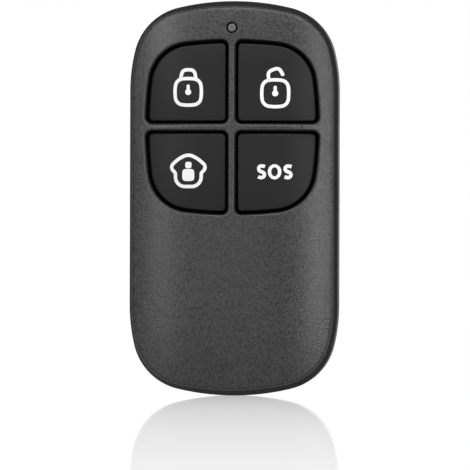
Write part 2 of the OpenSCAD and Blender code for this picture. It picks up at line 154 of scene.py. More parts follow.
# outline of the case: straight side, long blend, corner, shallow end, then the same mirrored
blendC = Vector((halfW - case["blendR"], halfL - case["blendRun"]))
endC = Vector((0, halfL - case["endR"]))
cornerC = roundCentre(blendC, case["blendR"] - case["cornerR"], endC, case["endR"] - case["cornerR"])
turnA, turnB = angleOf(cornerC - blendC), angleOf(cornerC - endC)
sideRun = Vector((0, halfL - case["blendRun"]))
acrossX = Matrix(((-1, 0), (0, 1)))
rightHalf = [(sideRun, None, case["sideSteps"]), (blendC, turnA, case["sideSteps"]),
             (cornerC, turnB - turnA, case["cornerSteps"]), (endC, 90 - turnB, case["endSteps"])]
leftHalf = [(-p if t is None else acrossX @ p, t, n) for p, t, n in reversed(rightHalf)]
upperEnd = rightHalf + leftHalf
caseWay = upperEnd + [(-p, t, n) for p, t, n in upperEnd]


def caseRing(bm, inset, z):
    return trace(bm, (halfW - inset, 0), caseWay, z)


def rimRing(bm, more, drop):        # where the sloping wall meets the face, moved in by more and down by drop
    ring, inner = caseRing(bm, 0, onFace - drop), caseRing(bm, 1, 0)
    for v, w in zip(ring, inner):
        out = Vector((v.co.x - w.co.x, v.co.y - w.co.y, 0))
        depth = 0
        for i in range(case["settle"]):
            p = v.co - depth * out
            depth = (faceZ(p.x, p.y) - case["seamZ"]) * slope
        v.co -= (depth + more) * out
    bmesh.ops.delete(bm, geom=inner, context="VERTS")
    return ring


# outline of one key's quarter of the group, measured from the middle of the cross
keySet = {"halfW": 12.85, "halfL": 12.9, "y": 10.5, "endR": 57.7, "sideR": 53.7, "cornerR": 6.3, "web": 1.18,
          "windowRound": 0.9, "lip": 0.44, "lipHold": 0.12, "lipSteps": 6, "lipGrain": 2,
          "gap": 0.34, "sideGap": 0.44, "sink": 0.25, "keyRound": 0.6, "keyEdge": 0.2, "edgeSteps": 5,
          "flatHold": 0.15, "wallHold": 0.12, "cell": 0.6, "pillow": 0.26,
          "flangeZ": 7.9, "baseZ": 7.35, "flangeOut": 0.6, "runSteps": 14, "arcSteps": 10, "cornerSteps": 20}
setSideC = Vector((keySet["halfW"] - keySet["sideR"], 0))
setEndC = Vector((0, keySet["halfL"] - keySet["endR"]))
setCornerC = roundCentre(setSideC, keySet["sideR"] - keySet["cornerR"],
                         setEndC, keySet["endR"] - keySet["cornerR"])


def keyRing(bm, sx, sy, clear, side, bend, more, z):
    # clear, side: how far inside the window at the cross and elsewhere
    # bend: radius of the three small corners, more: how far the ring is moved out
    web, near = keySet["web"] / 2 + clear, keySet["web"] / 2 + clear + bend
    sideEnd = Vector((setSideC.x + sqrt((keySet["sideR"] - side - bend) ** 2 - near ** 2), near))
    topEnd = Vector((near, setEndC.y + sqrt((keySet["endR"] - side - bend) ** 2 - near ** 2)))
    a, b = angleOf(sideEnd - setSideC), angleOf(setCornerC - setSideC)
    c, d = angleOf(setCornerC - setEndC), angleOf(topEnd - setEndC)
    run, arc, corner = keySet["runSteps"], keySet["arcSteps"], keySet["cornerSteps"]
    path = [((sideEnd.x - near, 0), None, run), (sideEnd, a + 90, arc), (setSideC, b - a, arc),
            (setCornerC, c - b, corner), (setEndC, d - c, arc), (topEnd, 180 - d, arc),
            ((0, near - topEnd.y), None, run), ((near, near), 90, arc)]
    ring = trace(bm, (near, web - more), path, z)
    for v in ring:
        v.co.x, v.co.y = v.co.x * sx, v.co.y * sy + keySet["y"]
    return ring


def circleRing(bm, x, y, r, z, steps=48):
    return trace(bm, (x + r, y), [((x, y), 360, steps)], z)


def boxRing(bm, box, more, z):
    # a rectangle with round corners, x to either side and from low to high, moved out by more
    x, low, high, r = box["x"], box["low"], box["high"], box["round"]
    wide, tall = 2 * (x - r), high - low - 2 * r
    across, along, corner = box["acrossSteps"], box["alongSteps"], box["cornerSteps"]
    path = [((0, tall), None, along), ((x - r, high - r), 90, corner),
            ((-wide, 0), None, across), ((r - x, high - r), 90, corner),
            ((0, -tall), None, along), ((r - x, low + r), 90, corner),
            ((wide, 0), None, across), ((x - r, low + r), 90, corner)]
    return trace(bm, (x + more, low + r), path, z)


def roundedEdge(r, steps):      # (inward, down) along a quarter round, from the flat to the wall
    turns = [radians(90 * i / steps) for i in range(steps + 1)]
    return [(r * (1 - sin(a)), r * (1 - cos(a))) for a in turns]


# shader wiring
noiseMiddle = 0.5


class Wire:     # a socket that takes part in sums
    def __init__(self, wiring, socket):
        self.wiring, self.socket = wiring, socket

    def join(self, operation, a, b):
        return self.wiring.node("ShaderNodeMath", {"operation": operation}, {0: a, 1: b})

    def __add__(self, other):
        return self.join("ADD", self, other)

    def __radd__(self, other):
        return self.join("ADD", other, self)

    def __sub__(self, other):
        return self.join("SUBTRACT", self, other)

    def __rsub__(self, other):
        return self.join("SUBTRACT", other, self)

    def __mul__(self, other):
        return self.join("MULTIPLY", self, other)

    def __rmul__(self, other):
        return self.join("MULTIPLY", other, self)

    def __pow__(self, other):
        return self.join("POWER", self, other)

    def __rpow__(self, other):
        return self.join("POWER", other, self)


class Wiring:       # the nodes of one material or of the world
    def __init__(self, owner):
        owner.use_nodes = True
        self.owner, self.tree = owner, owner.node_tree
        self.tree.nodes.clear()

    def node(self, kind, settings=None, sockets=None, out=0):
        new = self.tree.nodes.new(kind)
        for key, value in (settings or {}).items():
            setattr(new, key, value)
        for key, value in (sockets or {}).items():
            if isinstance(value, Wire):
                self.tree.links.new(value.socket, new.inputs[key])
            else:
                new.inputs[key].default_value = value
        return Wire(self, new.outputs[out]) if new.outputs else None

    def noise(self, scale, detail=2, rough=0.5, stretch=None):
        where = self.node("ShaderNodeTexCoord", out="Object")
        if stretch:
            where = self.node("ShaderNodeMapping", None, {"Vector": where, "Scale": stretch})
        return self.node("ShaderNodeTexNoise", None,
                         {"Vector": where, "Scale": scale, "Detail": detail, "Roughness": rough}, out="Fac")

    def tint(self, colour, amount, spread=0.45):
        # the colour made lighter and darker by amount, a value about 0
        dark = tuple(c * (1 - spread) for c in colour) + (1,)
        pale = tuple(min(1, c * (1 + spread)) for c in colour) + (1,)
        return self.node("ShaderNodeMix", {"data_type": "RGBA"},
                         {"Factor": amount + 0.5, "A": dark, "B": pale}, out="Result")

    def bump(self, height, strength, distance):
        return self.node("ShaderNodeBump", None,
                         {"Height": height, "Strength": strength, "Distance": distance})

    def surface(self, **sockets):
        names = {key.replace("_", " "): value for key, value in sockets.items()}
        shader = self.node("ShaderNodeBsdfPrincipled", None, names)
        self.node("ShaderNodeOutputMaterial", None, {"Surface": shader})
        return self.owner


def newFinish(name):
    return Wiring(bpy.data.materials.new(name))


# plastics of the case and keys
coverLook = {"colour": (0.0322, 0.0322, 0.0322), "rough": 0.3, "roughSpread": 0.2, "gloss": 0.455,
             "grain": 2950, "detail": 3, "crumble": 0.6, "second": 1.1, "contrast": 3,
             "cloudSize": 6, "cloud": 0.35, "cloudRelief": 0.6, "relief": 0.5, "grainDepth": 0.00005}
# dull smooth edge finish for the rim wall and the steep part of the window lips; its colour, about a third of
# the face's, is painted shade where these sides turn from the light
dullEdgeShadeLook = {"colour": (0.0114, 0.0114, 0.0114), "rough": 0.5, "gloss": 0.055}
# near black: painted shade on the walls inside the gaps round the keys and in the hole of the light
gapShadeLook = {"colour": (0.003, 0.003, 0.003), "rough": 0.7, "gloss": 0.02}
keyLook = {"colour": (0.0163, 0.0163, 0.0163), "rough": 0.38, "gloss": 0.136}
shellLook = {"colour": (0.016, 0.016, 0.0165), "rough": 0.4, "gloss": 0.35}
smoothGrain = {"cloud": 87.5, "fine": 6300, "mottle": 0.25, "roughSpread": 0.12, "relief": 0.3,
               "depth": 0.000004}


def grainedPlastic(name, look):
    w = newFinish(name)
    fine = w.noise(look["grain"], look["detail"], look["crumble"])
    broad = w.noise(look["grain"] / look["cloudSize"])
    other = w.noise(look["grain"] * look["second"], look["detail"], look["crumble"])
    grain = (1 + fine - other) ** look["contrast"] - 1 + (broad - noiseMiddle) * look["cloud"]
    return w.surface(Base_Color=w.tint(look["colour"], grain),
                     Roughness=look["rough"] + (fine - noiseMiddle) * look["roughSpread"],
                     Specular_IOR_Level=look["gloss"],
                     Normal=w.bump(fine + broad * look["cloudRelief"], look["relief"], look["grainDepth"]))


def smoothPlastic(name, look):
    w = newFinish(name)
    cloud = w.noise(smoothGrain["cloud"])
    fine = w.noise(smoothGrain["fine"])
    mottle = (cloud - noiseMiddle) * smoothGrain["mottle"] + (fine - noiseMiddle) * smoothGrain["mottle"]
    return w.surface(Base_Color=w.tint(look["colour"], mottle),
                     Roughness=look["rough"] + (cloud - noiseMiddle) * smoothGrain["roughSpread"],
                     Specular_IOR_Level=look["gloss"],
                     Normal=w.bump(fine, smoothGrain["relief"], smoothGrain["depth"]))


coverFinish = grainedPlastic("grainedCover", coverLook)
dullEdgeShadeFinish = smoothPlastic("dullEdgePaintedShade", dullEdgeShadeLook)
gapShadeFinish = smoothPlastic("gapWallPaintedShade", gapShadeLook)
keyFinish = smoothPlastic("keyPlastic", keyLook)
shellFinish = smoothPlastic("satinShell", shellLook)

# front cover; a hold is a ring set just past a rounding, which keeps the shading of the flat beside it flat
cover = {"edge": 0.26, "edgeSteps": 8, "grainOver": 0.22, "cell": 0.6, "underCell": 3, "thick": 1.2,
         "flatHold": 0.2, "seamHold": 0.1, "seamChamfer": 0.13, "seamGap": 0.02,
         "ledY": 25.25, "ledR": 0.84, "ledEdge": 0.08, "ledSteps": 3}
quarters = {"lock": (-1, 1), "unlock": (1, 1), "home": (-1, -1), "sos": (1, -1)}


def makeCover():
    bm = bmesh.new()
    r = cover["edge"]
    rims = [rimRing(bm, r + cover["flatHold"], 0)]
    rims += [rimRing(bm, inward - slope * down, down) for inward, down in roundedEdge(r, cover["edgeSteps"])]
    turnOver = r + cover["grainOver"]
    rims.append(rimRing(bm, -slope * turnOver, turnOver))
    grainEnd = len(rims) - 1        # the grain goes over the rounded edge and a little way down the wall; below it the wall takes the dull edge finish, darkened as painted shade
    foot = case["seamZ"] + cover["seamGap"]
    cham, held = cover["seamChamfer"], cover["seamChamfer"] + cover["seamHold"]
    rims.append(caseRing(bm, slope * held, atHeight + foot + held))
    rims.append(caseRing(bm, slope * cham, atHeight + foot + cham))
    rims.append(caseRing(bm, cham, atHeight + foot))
    rims.append(caseRing(bm, case["wall"], atHeight + foot))
    rims.append(rimRing(bm, case["wall"] + r, cover["thick"]))
    tops, unders = [rims[0]], [rims[-1]]
    for sx, sy in quarters.values():
        ways = [(keySet["lip"] + keySet["lipHold"], onFace)]
        ways += [(inward, onFace - down) for inward, down in roundedEdge(keySet["lip"], keySet["lipSteps"])]
        ways.append((0, onFace - cover["thick"]))
        rings = [keyRing(bm, sx, sy, 0, 0, keySet["windowRound"], more, z) for more, z in ways]
        lipEnd = keySet["lipGrain"] + 1     # the grain ends a third of the way round the lip; the steep rest of the lip takes the dull edge finish, darkened as painted shade
        skin(bm, rings[:lipEnd + 1])
        skin(bm, rings[lipEnd:-1], 1)
        # the walls of the window take the near-black painted shade of the gap
        skin(bm, rings[-2:], 2)
        tops.append(rings[0])
        unders.append(rings[-1])
    rings = [circleRing(bm, 0, cover["ledY"], cover["ledR"] + inward, onFace - down)
             for inward, down in roundedEdge(cover["ledEdge"], cover["ledSteps"])]
    rings.append(circleRing(bm, 0, cover["ledY"], cover["ledR"], onFace - cover["thick"]))
    skin(bm, rings[:-1])
    # the wall of the light's hole takes the same near-black painted shade
    skin(bm, rings[-2:], 2)
    tops.append(rings[0])
    unders.append(rings[-1])
    skin(bm, rims[:grainEnd + 1])
    skin(bm, rims[grainEnd:], 1)
    lid(bm, tops, cover["cell"])
    lid(bm, unders, cover["underCell"])
    lift(bm)
    finishPiece(bm, "frontCover", "case", ["front_cover"], [coverFinish, dullEdgeShadeFinish, gapShadeFinish])


makeCover()
print("front cover made")


# keys, each a little domed
def pillow(bm, sx, sy):
    mid = Vector((sx * keySet["halfW"] / 2, sy * keySet["halfL"] / 2 + keySet["y"]))
    for v in bm.verts:
        if v.co.z > atHeight / 2:
            v.co.z -= keySet["pillow"] * (v.co.xy - mid).length_squared / mid.x ** 2


def makeKey(name, sx, sy):
    bm = bmesh.new()
    r, top = keySet["keyEdge"], onFace - keySet["sink"]
    flange, base, out = atHeight + keySet["flangeZ"], atHeight + keySet["baseZ"], keySet["flangeOut"]
    ways = [(-r - keySet["flatHold"], top)]
    ways += [(-inward, top - down) for inward, down in roundedEdge(r, keySet["edgeSteps"])]
    ways += [(0, top - r - keySet["wallHold"]), (0, flange), (out, flange), (out, base)]
    rings = [keyRing(bm, sx, sy, keySet["gap"], keySet["sideGap"], keySet["keyRound"], more, z)
             for more, z in ways]
    edgeEnd = keySet["edgeSteps"]       # the last step of the rounding and the wall below it take the near-black painted shade of the gap
    skin(bm, rings[:edgeEnd + 1])
    skin(bm, rings[edgeEnd:], 1)
    lid(bm, [rings[0]], keySet["cell"])
    lid(bm, [rings[-1]])
    pillow(bm, sx, sy)
    lift(bm)
    finishPiece(bm, name + "Key", name + "_key", [name + "_button"], [keyFinish, gapShadeFinish])


for name, (sx, sy) in quarters.items():
    makeKey(name, sx, sy)
print("keys made")

# printed marks: outlines walked in a unit of their own, then laid on the domed keys
marks = {"unit": 0.1462, "stroke": 3.46, "letter": 3.5, "height": 0.02, "sunk": 0.05, "cell": 2.5,
         "runSteps": 3, "arcStep": 9, "endSteps": 2, "capSteps": 10, "holeSteps": 30,
         "holeR": 3.1, "holeSlot": 1.65, "holeTop": 6,
         "places": {"lock": (-6.47, 15.73), "unlock": (6.45, 15.54),
                    "home": (-6.42, 4.02), "sos": (6.39, 3.92)},
         "colour": (0.98, 0.98, 0.98), "speck": 9000, "mottle": 0.12, "rough": 0.45, "roughSpread": 0.2,
         "gloss": 0.3}


def ahead(heading):
    return Vector((cos(radians(heading)), sin(radians(heading))))


def leftOf(heading):
    return Vector((-sin(radians(heading)), cos(radians(heading))))


def walk(start, heading, moves, side=0):
    # straight runs (length,) and arcs (radius, turn to the left in degrees), side: parallel line to the left
    pos, path = Vector(start), []
    first = pos + side * leftOf(heading)
    for move in moves:
        if len(move) == 1:
            run = ahead(heading) * move[0]
            path.append((run, None, marks["runSteps"]))
            pos = pos + run
        else:
            radius, turn = move
            toCentre = radius if turn > 0 else -radius
            centre = pos + leftOf(heading) * toCentre
            path.append((centre, turn, max(marks["runSteps"], round(abs(turn) / marks["arcStep"]))))
            heading += turn
            pos = centre - leftOf(heading) * toCentre
    return first, path, pos, heading


def closedStroke(bm, start, heading, moves):
    rings = []
    for side in (-marks["stroke"] / 2, marks["stroke"] / 2):
        first, path = walk(start, heading, moves, side)[:2]
        rings.append(trace(bm, first, path, 0))
    lid(bm, rings, marks["cell"])


def openStroke(bm, start, heading, moves, width, caps=True):
    first, path, pos, end = walk(start, heading, moves, -width / 2)
    back = [(-p, None, n) if t is None else (p, -t, n) for p, t, n in reversed(path)]
    turnEnd = (leftOf(end) * width, None, marks["endSteps"])
    turnHome = (leftOf(heading) * -width, None, marks["endSteps"])
    if caps:
        turnEnd = (pos, 180, marks["capSteps"])
        turnHome = (start, 180, marks["capSteps"])
    lid(bm, [trace(bm, first, path + [turnEnd] + back + [turnHome], 0)], marks["cell"])


def squircle(x, y, half, bulge, corner):
    # a square with bulged sides: side arcs of radius bulge and round corners
    side = Vector((half - bulge, 0))
    reach = bulge - corner
    c = (side.x + sqrt(2 * reach * reach - side.x * side.x)) / 2
    lean = angleOf(Vector((c, c)) - side)
    return (x + half, y), 90, [(bulge, lean), (corner, 90 - 2 * lean), (bulge, lean)] * 4


def squircleFill(bm, x, y, half, bulge, corner):
    first, path = walk(*squircle(x, y, half, bulge, corner))[:2]
    lid(bm, [trace(bm, first, path, 0)], marks["cell"])


def keyhole(bm, x, y):
    r, half, top = marks["holeR"], marks["holeSlot"], marks["holeTop"]
    foot = sqrt(r * r - half * half)
    lean = degrees(atan2(half, foot))
    path = [((0, top - foot), None, marks["endSteps"]), ((x, y + top), 180, marks["capSteps"]),
            ((0, foot - top), None, marks["endSteps"]), ((x, y), 360 - 2 * lean, marks["holeSteps"])]
    lid(bm, [trace(bm, (x + half, y + foot), path, 0)], marks["cell"])


def drawLock(bm):
    closedStroke(bm, *squircle(0, 0, 13.5, 46, 8))
    openStroke(bm, (-7.6, 13.6), 80, [(4.5,), (5.2, -80), (3.6,), (5.2, -80), (4.5,)], marks["stroke"], False)
    keyhole(bm, 0, -0.2)


def drawUnlock(bm):
    closedStroke(bm, *squircle(0, 0, 13.6, 46, 8))
    openStroke(bm, (-6.3, 13.4), 100, [(4,), (5.4, -80), (3.8,), (4.4, -80), (4.2,)], marks["stroke"])
    keyhole(bm, 0, -0.1)


def drawHome(bm):
    top = (0, 15.9)
    # right half of the house, from the ridge to the foot
    half = [(11.5, -24), (34, -22), (0.7,), (4.6, -86), (3.2,), (2.2, 42), (3,), (9.6, -90)]
    foot = walk(top, 0, half)[2]
    closedStroke(bm, top, 0, half + [(2 * foot.x,)] + half[::-1])
    squircleFill(bm, 0.1, 6, 3.25, 16, 1.6)     # head
    squircleFill(bm, 0, -4.1, 6.2, 28, 3)       # body


def drawSos(bm):
    letterS = [(10.4, 20), (2.82, 159), (2.3,), (2.82, -159), (10.4, -20)]
    for x in (-13.3, 13.4):
        openStroke(bm, (x + 3.6, 5.22), 160, letterS, marks["letter"], False)
    rings = []
    for wide, tall in ((6.85, 7.65), (3.35, 4.55)):     # the O, outside and inside
        rings.append(circleRing(bm, 0, 0, 1, 0))
        for v in rings[-1]:
            v.co.x, v.co.y = v.co.x * wide, v.co.y * tall
    lid(bm, rings, marks["cell"])


def printInk(name, look):
    w = newFinish(name)
    speck = w.noise(look["speck"])
    return w.surface(Base_Color=w.tint(look["colour"], (speck - noiseMiddle) * look["mottle"]),
                     Roughness=look["rough"] + (speck - noiseMiddle) * look["roughSpread"],
                     Specular_IOR_Level=look["gloss"])


def makeMark(name, draw, ink):
    bm = bmesh.new()
    draw(bm)
    x, y = marks["places"][name]
    unit, z = marks["unit"], onFace - keySet["sink"] + marks["height"]
    for v in bm.verts:
        v.co = (x + v.co.x * unit, y + v.co.y * unit, z)
    pillow(bm, *quarters[name])
    lift(bm)
    sunk = bmesh.ops.extrude_face_region(bm, geom=list(bm.faces))["geom"]
    under = [v for v in sunk if isinstance(v, bmesh.types.BMVert)]
    bmesh.ops.translate(bm, vec=(0, 0, -marks["sunk"]), verts=under)
    finishPiece(bm, name + "Mark", name + "_key", None, [ink])


inkFinish = printInk("whiteInk", marks)
drawings = {"lock": drawLock, "unlock": drawUnlock, "home": drawHome, "sos": drawSos}
for name, draw in drawings.items():
    makeMark(name, draw, inkFinish)
print("marks made")

# lens of the indicator light
lens = {"r": 0.6, "flatShare": 0.4, "crown": 0.01, "edge": 0.1, "edgeSteps": 4, "sink": 0.08, "baseZ": 7,
        "colour": (0.092, 0.092, 0.092), "haze": 2500, "mottle": 0.3, "rough": 0.35, "roughSpread": 0.1,
        "gloss": 0.4, "coat": 0.2}


def lensResin(name, look):
    w = newFinish(name)
    haze = w.noise(look["haze"])
    return w.surface(Base_Color=w.tint(look["colour"], (haze - noiseMiddle) * look["mottle"]),
                     Roughness=look["rough"] + (haze - noiseMiddle) * look["roughSpread"],
                     Specular_IOR_Level=look["gloss"], Coat_Weight=look["coat"])


def makeLens(finish):
    bm = bmesh.new()
    r, top = lens["r"], onFace - lens["sink"]
    ways = [(r * lens["flatShare"], top)]
    ways += [(r - inward, top - lens["crown"] - down)
             for inward, down in roundedEdge(lens["edge"], lens["edgeSteps"])]
    ways.append((r, atHeight + lens["baseZ"]))
    rings = [circleRing(bm, 0, cover["ledY"], ringR, z) for ringR, z in ways]
    skin(bm, rings)
    lid(bm, [rings[0]])
    lid(bm, [rings[-1]])
    lift(bm)
    finishPiece(bm, "lightLens", "case", ["light_pipe"], [finish])


lensFinish = lensResin("lensResin", lens)
makeLens(lensFinish)
print("lens made")

# rear shell, with the door's seat, screw wells and strap pocket
shell = {"rollIn": 1.45, "roll": 2, "rollSteps": 8, "rollHold": 0.15, "wallHold": 0.3, "chamfer": 0.13,
         "seamHold": 0.1, "back": 1.25, "coveIn": 2, "coveRise": 1,
         "edge": 0.15, "edgeSteps": 3, "edgeHold": 0.12,
         "doorY": -11, "seatR": 12, "ledgeZ": 0.8, "openR": 10.3, "seatSteps": 96,
         "wellR": 1.45, "wellZ": 1.25, "boreR": 0.9, "bossR": 2.1, "bossZ": 5.1, "wellSteps": 40,
         "screws": [(8.2, 24.9), (8.6, -23)],
         "pocket": {"x": 4, "low": 23, "high": 27.35, "round": 0.6, "z": 3.9, "chamfer": 0.2, "wall": 1,
                    "tubShare": 0.6, "acrossSteps": 6, "alongSteps": 4, "cornerSteps": 8}}
screwSpots = [(s * x, y) for x, y in shell["screws"] for s in (-1, 1)]


def makeShell():
    bm = bmesh.new()
    s = shell
    rings = [caseRing(bm, s["rollIn"] + s["rollHold"], 0)]
    for i in range(s["rollSteps"] + 1):
        a = radians(90 * i / s["rollSteps"])
        rings.append(caseRing(bm, s["rollIn"] * (1 - sin(a)), s["roll"] * (1 - cos(a))))
    top = case["seamZ"] - cover["seamGap"]
    below = top - s["chamfer"]
    rings += [caseRing(bm, 0, s["roll"] + s["wallHold"]), caseRing(bm, 0, below - s["seamHold"])]
    rings += [caseRing(bm, 0, below), caseRing(bm, s["chamfer"], top), caseRing(bm, case["wall"], top)]
    rings += [caseRing(bm, case["wall"], s["back"] + s["coveRise"]), caseRing(bm, s["coveIn"], s["back"])]
    skin(bm, rings)
    outside, inside = [rings[0]], [rings[-1]]
    edge = [(s["edge"] + s["edgeHold"], 0)] + roundedEdge(s["edge"], s["edgeSteps"])
    seat = [(s["seatR"] + inward, down) for inward, down in edge]
    seat += [(s["seatR"], s["ledgeZ"]), (s["openR"], s["ledgeZ"]), (s["openR"], s["back"])]
    well = [(s["wellR"] + inward, down) for inward, down in edge]
    well += [(s["wellR"], s["wellZ"]), (s["boreR"], s["wellZ"]), (s["boreR"], s["bossZ"]),
             (s["bossR"], s["bossZ"]), (s["bossR"], s["back"])]
    holes = [(0, s["doorY"], seat, s["seatSteps"])] + [(x, y, well, s["wellSteps"]) for x, y in screwSpots]
    for x, y, chain, steps in holes:
        rings = [circleRing(bm, x, y, r, z, steps) for r, z in chain]
        skin(bm, rings)
        outside.append(rings[0])
        inside.append(rings[-1])
    pocket = s["pocket"]
    pit = [boxRing(bm, pocket, inward, down) for inward, down in edge]
    pit.append(boxRing(bm, pocket, 0, pocket["z"] - pocket["chamfer"]))
    pit.append(boxRing(bm, pocket, -pocket["chamfer"], pocket["z"]))
    skin(bm, pit)
    lid(bm, [pit[-1]])
    outside.append(pit[0])
    tubOut = pocket["wall"] * pocket["tubShare"]
    tub = [boxRing(bm, pocket, tubOut, z) for z in (s["back"], pocket["z"] + pocket["wall"])]
    skin(bm, tub)
    lid(bm, [tub[-1]])
    inside.append(tub[0])
    lid(bm, outside)
    lid(bm, inside)
    finishPiece(bm, "rearShell", "case", ["rear_cover"], [shellFinish])


makeShell()
print("rear shell made")

# battery door with its coin slot
slotHalf = 0.95
door = {"r": 11.9, "edge": 0.2, "edgeSteps": 4, "edgeHold": 0.12, "flangeZ": 0.7, "hubR": 10.15, "hubZ": 1.8,
        "steps": 96,
        "slot": {"x": 6.5, "low": shell["doorY"] - slotHalf, "high": shell["doorY"] + slotHalf, "round": 0.45,
                 "z": 0.4, "edge": 0.12, "edgeSteps": 3, "edgeHold": 0.12, "chamfer": 0.1,
                 "acrossSteps": 8, "alongSteps": 3, "cornerSteps": 8}}


def makeDoor():
    bm = bmesh.new()
    chain = [(door["r"] - door["edge"] - door["edgeHold"], 0)]
    chain += [(door["r"] - inward, down) for inward, down in roundedEdge(door["edge"], door["edgeSteps"])]
    chain += [(door["r"], door["flangeZ"]), (door["hubR"], door["flangeZ"]), (door["hubR"], door["hubZ"])]
    rings = [circleRing(bm, 0, shell["doorY"], r, z, door["steps"]) for r, z in chain]
    skin(bm, rings)
    slot = door["slot"]
    ways = [(slot["edge"] + slot["edgeHold"], 0)] + roundedEdge(slot["edge"], slot["edgeSteps"])
    ways += [(0, slot["z"] - slot["chamfer"]), (-slot["chamfer"], slot["z"])]
    pit = [boxRing(bm, slot, more, z) for more, z in ways]
    skin(bm, pit)
    lid(bm, [pit[-1]])
    lid(bm, [rings[0], pit[0]])
    lid(bm, [rings[-1]])
    finishPiece(bm, "batteryDoor", "door", ["battery_door"], [shellFinish])


makeDoor()
print("door made")

# metals, board and the rest of the inside
metalGrain = {"lines": 3000, "detail": 3, "crumble": 0.6, "mottle": 0.4, "roughSpread": 0.25, "relief": 0.15,
              "depth": 0.000006}
boardLook = {"colour": (0.02, 0.16, 0.07), "weave": 900, "joint": 0.06, "threads": 0.25,
             "cloud": 500, "mottle": 0.4, "rough": 0.3, "roughSpread": 0.1, "coat": 0.3}


def metal(name, colour, rough, stretch=(1, 1, 1)):
    w = newFinish(name)
    lines = w.noise(metalGrain["lines"], metalGrain["detail"], metalGrain["crumble"], stretch)
    return w.surface(Base_Color=w.tint(colour, (lines - noiseMiddle) * metalGrain["mottle"]), Metallic=1.0,
                     Roughness=rough + (lines - noiseMiddle) * metalGrain["roughSpread"],
                     Normal=w.bump(lines, metalGrain["relief"], metalGrain["depth"]))


def solderMask(name, look):
    w = newFinish(name)
    where = w.node("ShaderNodeTexCoord", out="Object")
    weave = w.node("ShaderNodeTexBrick", None,
                   {"Vector": where, "Scale": look["weave"], "Mortar Size": look["joint"]}, out="Fac")
    cloud = w.noise(look["cloud"])
    mottle = (cloud - noiseMiddle) * look["mottle"] + weave * look["threads"]
    return w.surface(Base_Color=w.tint(look["colour"], mottle),
                     Roughness=look["rough"] + cloud * look["roughSpread"], Coat_Weight=look["coat"])


slotFinish = {
    "board": solderMask("solderMask", boardLook),
    "led": smoothPlastic("ledResin", {"colour": (0.8, 0.78, 0.6), "rough": 0.25, "gloss": 0.5}),
    "switch_base": smoothPlastic("switchBase", {"colour": (0.03, 0.03, 0.03), "rough": 0.5, "gloss": 0.4}),
    "plate": metal("switchPlate", (0.6, 0.6, 0.6), 0.32, (1, 1, 8)),
    "dome": metal("domeSteel", (0.7, 0.66, 0.5), 0.28),
    "stem": smoothPlastic("stemPlastic", {"colour": (0.75, 0.75, 0.7), "rough": 0.45, "gloss": 0.4}),
    "chip": smoothPlastic("chipResin", {"colour": (0.02, 0.02, 0.02), "rough": 0.55, "gloss": 0.4}),
    "resonator_can": metal("resonatorCan", (0.65, 0.65, 0.65), 0.3),
    "capacitor": smoothPlastic("capacitorCeramic", {"colour": (0.4, 0.28, 0.16), "rough": 0.5, "gloss": 0.4}),
    "resistor": smoothPlastic("resistorGlaze", {"colour": (0.02, 0.02, 0.025), "rough": 0.3, "gloss": 0.5}),
    "wire": metal("aerialWire", (0.72, 0.42, 0.2), 0.3),
    "can": metal("cellCan", (0.68, 0.68, 0.68), 0.28, (1, 6, 1)),
    "cap": metal("cellCap", (0.62, 0.62, 0.62), 0.3),
    "gasket": smoothPlastic("gasketNylon", {"colour": (0.03, 0.03, 0.03), "rough": 0.6, "gloss": 0.3}),
    "contact": metal("springStrip", (0.75, 0.68, 0.45), 0.3, (1, 1, 6)),
    "seal": smoothPlastic("sealRubber", {"colour": (0.03, 0.03, 0.03), "rough": 0.75, "gloss": 0.25}),
    "screw": metal("screwSteel", (0.4, 0.4, 0.42), 0.34),
    "bar": metal("barSteel", (0.6, 0.6, 0.62), 0.24, (1, 8, 8)),
    "cover": coverFinish, "shell": shellFinish, "key": keyFinish, "lens": lensFinish,
}
for part in frame["record"]["subparts"]:
    mesh = frame["nodes"][part["node"]].data
    mesh.materials.clear()
    mesh.materials.append(slotFinish[part["material_slot"]])
print("inside finished")

# case screws with a cross recess, and the strap bar
screw = {"headR": 1.3, "topZ": 0.35, "seatZ": 1.25, "dome": 0.28, "domeSteps": 5, "shankR": 0.7, "tipZ": 7.9,
         "tipRun": 0.3, "tipShare": 0.6, "steps": 40, "armL": 0.8, "armW": 0.19, "deep": 0.5,
         "lipIn": 0.04, "lipDeep": 0.02, "crease": 30}
bar = {"r": 0.8, "long": 9.6, "y": 25.3, "z": 1.7, "bevel": 0.12, "bevelSteps": 3, "steps": 48}


def crossRing(bm, x, y, shrink, z):     # outline of the recess, one arm's end and side, four times round
    long, wide = screw["armL"] - shrink, screw["armW"] - shrink
    arm = long - wide
    runs, path = [(0, 2 * wide), (-arm, 0), (0, arm)], []
    for quarter in range(4):
        path += [(run, None, 1) for run in runs]
        runs = [(-dy, dx) for dx, dy in runs]
    return trace(bm, (x + long, y - wide), path, z)


def makeScrews():
    bm = bmesh.new()
    s = screw
    chain = [(s["headR"] - inward, s["topZ"] + down)
             for inward, down in roundedEdge(s["dome"], s["domeSteps"])]
    chain += [(s["headR"], s["seatZ"]), (s["shankR"], s["seatZ"]), (s["shankR"], s["tipZ"] - s["tipRun"]),
              (s["shankR"] * s["tipShare"], s["tipZ"])]
    recess = [(0, 0), (s["lipIn"], s["lipDeep"]), (2 * s["lipIn"], s["deep"])]
    for x, y in screwSpots:
        rings = [circleRing(bm, x, y, r, z, s["steps"]) for r, z in chain]
        skin(bm, rings)
        lid(bm, [rings[-1]])
        cross = [crossRing(bm, x, y, shrink, s["topZ"] + deep) for shrink, deep in recess]
        skin(bm, cross)
        lid(bm, [cross[-1]])
        lid(bm, [rings[0], cross[0]])
    finishPiece(bm, "caseScrews", "case", ["case_screws"], [slotFinish["screw"]], s["crease"])


